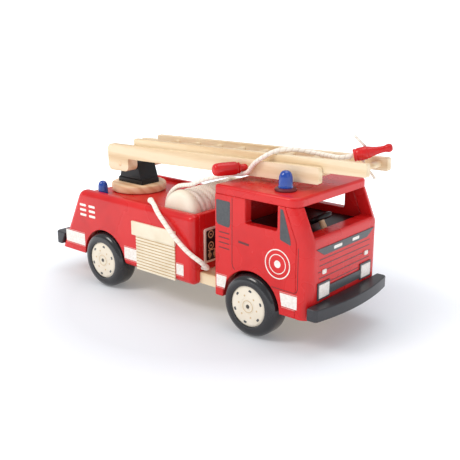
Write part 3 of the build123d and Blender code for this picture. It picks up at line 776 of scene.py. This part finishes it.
@dataclass
class CabFace(Bench):
    """Front of the cab: band, grille lines, lamps, bar and bumper."""

    face_x: float = 166.5
    grille: tuple[float, ...] = (86.2, 80.6, 74.6, 68.4)

    def make(self) -> None:
        """Build the pieces and prints of the cab's front."""
        self.dress("front_band", self.shop.dark_ink)
        self.dress("light_bar", self.shop.dark_ink)
        self.soften("headlight_frames", "vehicle", self.shop.dark_ink, 0.25, 2)
        self.soften("headlight_lenses", "vehicle", self.shop.white_ink, 0.3, 2)
        self.soften("indicators", "vehicle", self.shop.white_ink, 0.25, 2)
        self.soften("front_bumper", "vehicle", self.shop.grey, 1.2)
        face = Print((self.face_x, 0, 0), (0, 1, 0), (0, 0, 1))
        lines, bars = bmesh.new(), bmesh.new()
        for z in self.grille:
            if abs(z - 74.6) < 1:
                for y0, y1 in ((-45, -41), (-32, 32), (41, 45)):
                    face.line(lines, self, [(y0, z), (y1, z)], 0.9)
            else:
                face.line(lines, self, [(-43, z), (43, z)], 0.9)
        face.line(lines, self, [(-24, 61.6), (24, 61.6)], 0.8)
        over = Print((self.face_x + 0.8, 0, 0), (0, 1, 0), (0, 0, 1))
        for y0, y1 in ((-22, -8), (10, 22)):
            over.patch(bars, self, [(y0, 92.0), (y1, 92.0), (y1, 95.0), (y0, 95.0)], 1.0)
        self.close(lines, "cab_front_line_print", "vehicle", self.shop.line_ink)
        self.close(bars, "cab_front_plain_bars", "vehicle", self.shop.white_ink)


@dataclass
class Beacons(Bench):
    """Turned blue beacons on the right of the cab roof and of the rear deck."""

    front: Point3 = (123.4, -39.0, 143.4)
    rear: Point3 = (-131.0, -43.5, 101.1)

    def make(self) -> None:
        """Turn the dark base and the blue domes."""
        base = self.turn_up([(0, 0), (9.9, 0), (10.3, 0.6), (10.2, 1.8), (9.4, 2.7), (8.0, 3.0), (0, 3.0)],
                            self.front, (0, 0, 1), 48)
        dome = self.turn_up([(0, 3.0), (6.8, 3.0), (7.0, 3.6), (6.8, 4.4), (6.6, 5.0), (6.5, 11.5),
                             (6.3, 13.4), (5.7, 15.4), (4.7, 17.1), (3.3, 18.3), (1.7, 18.9), (0, 19.0)],
                            self.front, (0, 0, 1), 48)
        rear = self.turn_up([(0, 0), (5.8, 0), (5.9, 1.2), (5.6, 2.4), (5.5, 8.2), (5.2, 10.4), (4.4, 12.7),
                             (3.2, 14.2), (1.6, 14.9), (0, 15.0)], self.rear, (0, 0, 1), 40)
        self.close(base, "front_beacon_base_turned", "vehicle", self.shop.dark_red, ("front_beacon_base",))
        self.close(dome, "front_beacon_dome_turned", "vehicle", self.shop.blue, ("front_beacon_dome",))
        self.close(rear, "rear_beacon_dome_turned", "vehicle", self.shop.blue, ("rear_beacon_dome",))


@dataclass
class WheelPair(Bench):
    """Two turned wheels on one axle: rounded tyre, cream hub face with dark marks."""

    name: str = "front"
    x: float = 99.9
    axle_z: float = 30.0
    face: float = 65.0

    def make(self) -> None:
        """Turn tyres and hubs and print the hub faces."""
        body = f"{self.name}_wheels"
        tyres, hubs, marks, shine = bmesh.new(), bmesh.new(), bmesh.new(), bmesh.new()
        for side in Side:
            s = side.value
            middle = (self.x, s * self.face, self.axle_z)
            inward = (0, -s, 0)
            tyre = [(20.4, 1.2), (20.8, 0.5), (21.6, 0.1), (24.6, 0.0), (27.0, 0.45), (28.9, 1.5),
                    (30.3, 3.2), (31.2, 5.4), (31.5, 8.0), (31.5, 18.6), (31.1, 21.2), (30.0, 23.3),
                    (28.2, 24.6), (26.0, 25.0), (20.4, 25.0)]
            gather(tyres, self.turn_up(tyre, middle, inward, 96))
            hub = [(2.1, 0.75), (3.3, 0.75), (3.7, 1.05), (4.4, 1.05), (4.8, 0.75), (7.4, 0.75), (7.7, 1.0),
                   (8.1, 1.0), (8.4, 0.7), (17.9, 0.7), (18.9, 0.9), (19.6, 1.5), (20.3, 1.7), (20.3, 23.9),
                   (2.1, 23.9)]
            gather(hubs, self.turn_up(hub, middle, inward, 96))
            face = Print((self.x, s * (self.face - 0.7), self.axle_z), (-s, 0, 0), (0, 0, 1))
            for k in range(6):
                a = radians(60 * k + 20)
                out, along = Vector((cos(a), sin(a))), Vector((-sin(a), cos(a)))
                slot = ((15.4, -1.9), (17.6, -1.4), (17.6, 1.4), (15.4, 1.9))
                quad = [out * r + along * w for r, w in slot]
                face.patch(marks, self, [tuple(p) for p in quad], 0.5)
            for k in range(6):
                a = radians(60 * k + 50)
                face.ring(shine, self, (11.2 * cos(a), 11.2 * sin(a)), 1.0, 0.0, 14)
            face.ring(shine, self, (0, 0), 6.3, 5.7, 48)
        self.close(tyres, f"{self.name}_tyres_turned", body, self.shop.tyre, (f"{self.name}_tyres",))
        self.close(hubs, f"{self.name}_hubs_turned", body, self.shop.cream, (f"{self.name}_hubs",))
        self.close(marks, f"{self.name}_hub_slots", body, self.shop.dark_ink)
        self.close(shine, f"{self.name}_hub_marks", body, self.shop.tan_ink)
        self.dress(f"{self.name}_axle", self.shop.steel)


@dataclass
class LadderTower(Bench):
    """Turntable, pedestal, both ladders, the red peg and the nozzle."""

    centre: Point3 = (-118.0, 0.0, 101.4)
    peg_at: Point3 = (65.997, -28.0, 155.634)
    peg_yaw: float = 26.0
    nozzle_at: Point3 = (172.3, -4.0, 177.0)
    nozzle_dir: Point3 = (0.807, 0.544, 0.236)

    def make(self) -> None:
        """Build every piece from the turntable up."""
        disc = self.turn_up([(4.06, 0), (30.2, 0), (31.2, 0.5), (31.7, 1.6), (31.7, 7.0), (31.2, 8.2),
                             (30.2, 8.8), (4.06, 8.8)], self.centre, (0, 0, 1), 96)
        self.close(disc, "turntable_disc_turned", "turntable", self.shop.beech, ("turntable_disc",))
        self.dress("turntable_pin", self.shop.beech)
        self.soften("pedestal", "turntable", self.shop.black, 1.2)
        self.dress("pivot_pin", self.shop.beech)
        for label in ("right", "left"):
            self.soften(f"lower_rail_{label}", "lower_ladder", self.shop.timber, 0.9)
            self.soften(f"upper_rail_{label}", "upper_ladder", self.shop.timber, 0.8)
        self.dress("lower_rungs", self.shop.timber)
        self.dress("upper_rungs", self.shop.timber)
        out = (-sin(radians(self.peg_yaw)), -cos(radians(self.peg_yaw)), 0.0)
        peg = self.turn_up([(0, -1.6), (3.4, -1.6), (3.4, 5.4), (3.9, 5.9), (5.0, 6.1), (5.5, 6.9),
                            (5.2, 7.7), (4.5, 8.2), (4.6, 8.8), (5.7, 9.3), (6.3, 10.3), (6.5, 12), (6.5, 25),
                            (6.3, 29.0), (5.7, 31.6), (4.5, 33.2), (2.6, 34.0), (0, 34.2)],
                           self.peg_at, out, 48)
        self.close(peg, "hose_peg_turned", "lower_ladder", self.shop.red, ("hose_peg",))
        nozzle = self.turn_up([(0, 0), (4.4, 0), (5.5, 0.4), (5.9, 1.3), (5.6, 2.3), (5.3, 2.8), (5.7, 3.5),
                               (6.0, 4.6), (6.0, 11.0), (5.7, 12.2), (5.3, 12.7), (5.5, 13.6), (5.1, 14.8),
                               (4.3, 17.4), (3.5, 21.0), (3.05, 25.0), (3.0, 28.0), (3.3, 29.5), (3.8, 30.8),
                               (3.9, 32.2), (3.5, 33.8), (2.5, 34.9), (1.3, 35.25), (0, 35.3)],
                              self.nozzle_at, self.nozzle_dir, 48)
        self.close(nozzle, "nozzle_turned", "upper_ladder", self.shop.red, ("nozzle",))


@dataclass
class HoseReel(Bench):
    """Hose reel: turned drum with rounded cheeks and a hose wound on it in one long helix."""

    centre: Point3 = (-6.5, 0.0, 100.0)
    half: float = 49.0
    cheek: float = 11.0
    turns: int = 8
    coil_radius: float = 19.5
    hose_radius: float = 4.2

    def make(self) -> None:
        """Turn the drum, then wind the hose."""
        h, c = self.half, self.cheek
        near = [(3.06, 0.3), (14.0, 0.0), (17.5, 0.2), (19.8, 0.9), (21.6, 2.1), (22.9, 3.8), (23.7, 6.0),
                (24.0, 8.4), (23.9, c - 0.7), (23.3, c), (14.0, c)]
        profile = [(r, t - h) for r, t in near] + [(r, h - t) for r, t in reversed(near)]
        drum = self.turn_up(profile, self.centre, (0, 1, 0), 96)
        self.close(drum, "reel_drum_turned", "reel", self.shop.cream, ("reel_drum",))
        self.dress("reel_axle", self.shop.beech)
        self.wind()

    def wind(self) -> None:
        """Wind the hose: a small circle spun and carried along the drum."""
        bm = bmesh.new()
        x, y, z = self.centre
        run = 2 * (self.half - self.cheek) - 2 * self.hose_radius
        place = Matrix.Translation(spot((x, y - run / 2, z + self.coil_radius))) @ Matrix.Rotation(
            pi / 2, 4, "Y")
        bmesh.ops.create_circle(bm, cap_ends=False, segments=16, radius=self.hose_radius * MM, matrix=place)
        steps = self.turns * 64
        bmesh.ops.spin(bm, geom=bm.verts[:] + bm.edges[:], cent=spot(self.centre), axis=(0, 1, 0),
                       dvec=(0, run * MM / steps, 0), angle=2 * pi * self.turns, steps=steps, use_merge=False,
                       use_normal_flip=False, use_duplicate=False)
        bmesh.ops.holes_fill(bm, edges=[e for e in bm.edges if e.is_boundary], sides=0)
        self.close(bm, "hose_winding_wound", "reel", self.shop.winding, ("hose_winding",), 60.0)


@dataclass
class CordRun(Bench):
    """One free cord: its route, size and what it joins."""

    name: str = ""
    route: tuple[Point3, ...] = ()
    radius: float = 2.2
    length: float = 100.0
    far_end: str = "object"
    twist: float = 4.0

    def spline(self, bevel: bool) -> bpy.types.Object:
        """Lay the route as one smooth spline.

        Args:
            bevel: Whether it gets its round section.

        Returns:
            The curve object.
        """
        curve = bpy.data.curves.new(self.name + "_line", "CURVE")
        curve.dimensions = "3D"
        curve.resolution_u = 24
        if bevel:
            curve.bevel_depth = self.radius * MM
            curve.bevel_resolution = 5
            curve.use_fill_caps = True
        line = curve.splines.new("NURBS")
        line.points.add(len(self.route) - 1)
        for knot, place in zip(line.points, self.route):
            knot.co = (*spot(place), 1.0)
        line.order_u = 3
        line.use_endpoint_u = True
        cord = bpy.data.objects.new(self.name + "_cord", curve)
        bpy.context.collection.objects.link(cord)
        return cord

    def finish(self) -> CottonCord:
        """The cord's own twist at its own length."""
        return CottonCord(self.name + "_cotton", "hose_cord", twist_mm=self.twist, length_mm=self.length)

    def lay_on(self, body: str, with_pieces: Sequence[bpy.types.Object | str] = ()) -> None:
        """Make the cord as a curve that rides on one body.

        Args:
            body: Body that it rides on.
            with_pieces: Separate pieces on the cord.
        """
        cord = self.spline(True)
        cord.data.materials.append(self.shop.material(self.finish()))
        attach(cord, body)
        self.declare(cord, with_pieces, None)

    def lay_between(self, held: str, carried: str,
                    with_pieces: Sequence[bpy.types.Object | str] = ()) -> None:
        """Make the cord as a mesh that gives way between two bodies.

        Args:
            held: Body meant for the cord's start; not used.
            carried: Body meant for its far end; not used.
            with_pieces: Separate pieces on the cord.
        """
        thin, thick = self.spline(False), self.spline(True)
        bpy.context.view_layer.update()
        graph = bpy.context.evaluated_depsgraph_get()
        line = bpy.data.meshes.new_from_object(thin.evaluated_get(graph))
        path = [tuple(v.co) for v in line.vertices]
        mesh = bpy.data.meshes.new_from_object(thick.evaluated_get(graph))
        for old in (thin, thick):
            bpy.data.objects.remove(old)
        bpy.data.meshes.remove(line)
        mesh.shade_smooth()
        mesh.materials.clear()
        mesh.materials.append(self.shop.material(self.finish()))
        cord = bpy.data.objects.new(self.name + "_cord", mesh)
        bpy.context.collection.objects.link(cord)
        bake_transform(cord)
        self.declare(cord, with_pieces, path)

    def declare(self, cord: bpy.types.Object, with_pieces: Sequence[bpy.types.Object | str],
                path: list[Point3] | None) -> None:
        """Hide the solid that the cord stands for, count the cord and log it."""
        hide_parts(self.name)
        self.count += 1
        LOG.info("laid %s", self.name)


@dataclass
class Hoses(Bench):
    """The free cords of the toy and the knot on one of them."""

    knot_at: Point3 = (-41.0, -53.5, 108.9)
    lead: tuple[Point3, ...] = ((-35.2, -36, 101.3), (-35.2, -36, 107.5), (-29, -36, 117.6),
                                (-19, -36.3, 125.7), (-7.5, -37, 128.6), (5, -38.8, 131.0),
                                (20, -39.6, 138.5), (37, -37, 143.3), (52, -33.6, 147.6), (64.3, -32.2, 149.5))
    ladder: tuple[Point3, ...] = ((64.7, -32.2, 149.7), (72, -32, 150.5), (77.5, -31.4, 159.7),
                                  (86, -30.6, 166.8), (99, -20.5, 176.2), (114, -8, 176.2),
                                  (132, -1, 173.4), (149, -5.5, 174.0), (163.2, -10.1, 174.35),
                                  (171.98, -4.22, 176.91))
    side: tuple[Point3, ...] = ((26.08, -47.4, 48.6), (35.5, -47.4, 48.6), (38, -60, 58.5), (23, -65.2, 67.8),
                                (7, -66.4, 79.5), (-8, -66.4, 92.8), (-20, -66, 103.8), (-30, -60.5, 109.3),
                                (-41, -53.5, 108.9))
    tie: tuple[Point3, ...] = ((172.5, -4, 195.2), (179, -1.5, 188.6), (178, 8.4, 184), (174.5, 8.2, 174.2),
                               (180, 3.5, 166), (188, 1.5, 162.8), (194, -1.5, 158.4))

    def make(self) -> None:
        """Lay the four cords."""
        back = (Vector(self.knot_at) - Vector(self.side[-2])).normalized()
        knot = self.turn_up([(0, -0.6), (2.5, -0.6), (3.0, 0.2), (3.3, 1.6), (3.35, 3.4), (3.0, 5.2),
                             (2.1, 6.5), (0, 7.0)], self.knot_at, tuple(back), 32)
        end = self.close(knot, "side_hose_knot", "vehicle", self.shop.winding, ("side_hose_end",))
        CordRun(self.shop, "hose_lead", self.lead, 2.2, 118.2, "object", 5.0).lay_on("vehicle")
        CordRun(self.shop, "side_hose", self.side, 2.5, 122.3, "knot", 5.5).lay_on("vehicle", [end])
        CordRun(self.shop, "tie_cord", self.tie, 1.2, 55.8, "bare", 3.0).lay_on("upper_ladder")
        CordRun(self.shop, "ladder_hose", self.ladder, 2.2, 128.0, "tool", 5.0).lay_between(
            "lower_ladder", "upper_ladder", ["nozzle_turned"])


@dataclass
class Studio:
    """Camera, soft lights and a pale floor that glows away from the toy and turns up at its rim."""

    aim: Point3 = (22.6, 0.0, 77.3)
    eye: Point3 = (520.1, -580.0, 303.4)
    lens: float = 58.45
    floor_half: float = 40.0
    rim_height: float = 5.0
    glow_reach: tuple[float, float] = (0.16, 0.42)
    glow_strength: tuple[float, float] = (0.16, 0.85)

    def camera(self) -> None:
        """Set the camera."""
        data = bpy.data.cameras.new("camera")
        data.lens = self.lens
        data.sensor_width = 36.0
        data.clip_start = 0.01
        camera = bpy.data.objects.new("camera", data)
        bpy.context.collection.objects.link(camera)
        camera.location = spot(self.eye)
        aim = spot(self.aim)
        camera.rotation_euler = (aim - camera.location).to_track_quat("-Z", "Y").to_euler()
        bpy.context.scene.camera = camera

    def lamp(self, name: str, place: Point3, size: float, power: float, tint: str = "FFFFFF") -> None:
        """Hang one square soft light that faces the toy.

        Args:
            name: Light name.
            place: Position in metres.
            size: Side in metres.
            power: Power in watts.
            tint: Colour.
        """
        data = bpy.data.lights.new(name, "AREA")
        data.shape = "SQUARE"
        data.size = size
        data.energy = power
        data.color = srgb(tint)[:3]
        lamp = bpy.data.objects.new(name, data)
        bpy.context.collection.objects.link(lamp)
        lamp.location = place
        lamp.rotation_euler = (Vector((0, 0, 0.08)) - lamp.location).to_track_quat("-Z", "Y").to_euler()

    def make(self) -> None:
        """Set up the whole studio."""
        self.camera()
        self.lamp("key_light", (-0.55, -1.0, 1.25), 0.6, 11.5, "FFFAF4")
        self.lamp("front_light", (1.3, -0.35, 0.9), 0.9, 1.5, "FAFBFF")
        self.lamp("top_light", (0.1, 0.25, 1.6), 1.0, 7.0)
        world = bpy.data.worlds.new("studio_air")
        world.use_nodes = True
        air = world.node_tree.nodes["Background"]
        air.inputs["Color"].default_value = srgb("F6F8FC")
        air.inputs["Strength"].default_value = 0.6
        bpy.context.scene.world = world
        bpy.context.scene.view_settings.view_transform = "Standard"
        bm = bmesh.new()
        bmesh.ops.create_grid(bm, x_segments=1, y_segments=1, size=self.floor_half)
        rim = bmesh.ops.extrude_edge_only(bm, edges=bm.edges[:])
        bmesh.ops.translate(bm, vec=(0, 0, self.rim_height),
                            verts=[v for v in rim["geom"] if isinstance(v, bmesh.types.BMVert)])
        mesh = bpy.data.meshes.new("floor")
        bm.to_mesh(mesh)
        bm.free()
        floor = bpy.data.objects.new("floor", mesh)
        bpy.context.collection.objects.link(floor)
        floor.location.z = -0.0002
        paper = bpy.data.materials.new("floor_paper")
        paper.use_nodes = True
        tree = paper.node_tree
        shader = tree.nodes["Principled BSDF"]
        shader.inputs["Base Color"].default_value = srgb("D2D6DC")
        shader.inputs["Roughness"].default_value = 0.9
        shader.inputs["Specular IOR Level"].default_value = 0.1
        shader.inputs["Emission Color"].default_value = srgb("FFFFFF")
        place = add_node(tree, "ShaderNodeTexCoord").outputs["Object"]
        reach = add_node(tree, "ShaderNodeVectorMath", {"operation": "LENGTH"}, {0: place})
        (near, far), (dim, bright) = self.glow_reach, self.glow_strength
        glow = add_node(tree, "ShaderNodeMapRange",
                        {"From Min": near, "From Max": far, "To Min": dim, "To Max": bright},
                        {"Value": reach.outputs["Value"]})
        tree.links.new(glow.outputs[0], shader.inputs["Emission Strength"])
        mesh.materials.append(paper)


def main() -> None:
    """Build the toy and the studio."""
    logging.basicConfig(level=logging.INFO, format="%(message)s")
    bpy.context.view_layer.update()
    Studio().make()
    shop = PaintShop()
    parts: list[Bench] = [
        LadderTower(shop), Hoses(shop), HoseReel(shop), RearBody(shop), PumpPanel(shop), Cab(shop),
        CabFace(shop), Beacons(shop), WheelPair(shop, "front", 99.9), WheelPair(shop, "rear", -112.4)]
    for part in parts:
        part.make()
        LOG.info("%s: %d pieces", type(part).__name__, part.count)


if __name__ == "__main__":
    main()
